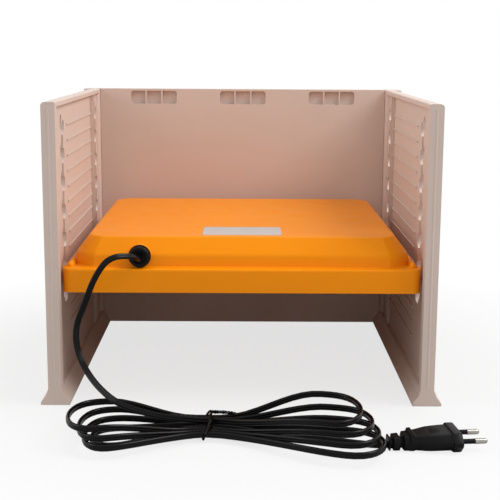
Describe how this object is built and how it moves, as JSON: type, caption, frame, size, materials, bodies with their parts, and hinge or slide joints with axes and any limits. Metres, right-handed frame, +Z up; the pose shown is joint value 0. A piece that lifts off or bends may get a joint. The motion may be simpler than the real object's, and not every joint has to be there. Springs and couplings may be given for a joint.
{
  "type": "brooder heat plate",
  "caption": "Heated plate with a raised orange cover, hung at a chosen height between two notched side panels and a back panel, with a corded plug.",
  "frame": {"origin": "on the floor under the middle of the enclosure", "axes": "+X to the right seen from the open front, +Y to the rear, +Z up"},
  "size_m": [0.3273, 0.4059, 0.234],
  "materials": {
    "panel_plastic": "satin moulded",
    "orange_plastic": "semi-gloss moulded",
    "black_plastic": "satin moulded",
    "cord_sheath": "soft satin",
    "seal_rubber": "matte",
    "screw_steel": "zinc plated",
    "pin_metal": "nickel plated",
    "spreader_sheet": "mill finish",
    "film_laminate": "smooth laminate",
    "electrode_strip": "bright copper",
    "felt_pad": "needled felt",
    "cutout_case": "moulded phenolic",
    "block_nylon": "moulded nylon",
    "wire_sheath": "smooth",
    "label_foil": "matte foil"
  },
  "bodies": {
    "enclosure": {"left_side_panel": "panel_plastic", "right_side_panel": "panel_plastic", "back_panel": "panel_plastic", "cord_lead": "cord_sheath", "cord_hank": "cord_sheath", "cord_tail": "cord_sheath", "twist_tie": "black_plastic", "plug_body": "black_plastic", "plug_pins": "pin_metal", "pin_sleeves": "black_plastic"},
    "plate": {"plate_cover": "orange_plastic", "plate_base": "orange_plastic", "base_screws": "screw_steel", "heat_spreader": "spreader_sheet", "heating_film": "film_laminate", "film_electrodes": "electrode_strip", "insulation_pad": "felt_pad", "thermal_cutout": "cutout_case", "terminal_block": "block_nylon", "terminal_screws": "screw_steel", "supply_wires": "wire_sheath", "heater_wires": "wire_sheath", "inner_cord": "cord_sheath", "cord_clamp": "black_plastic", "inner_screws": "screw_steel", "gland_body": "black_plastic", "gland_cap": "black_plastic", "gland_nut": "black_plastic", "gland_seal": "seal_rubber", "rating_label": "label_foil"}
  },
  "joints": [
    {"name": "plate_height", "type": "slide", "parent": "enclosure", "child": "plate", "axis": [0, 0, 1], "range_m": [-0.0225, 0.1125], "deforming": ["cord_lead"]}
  ]
}
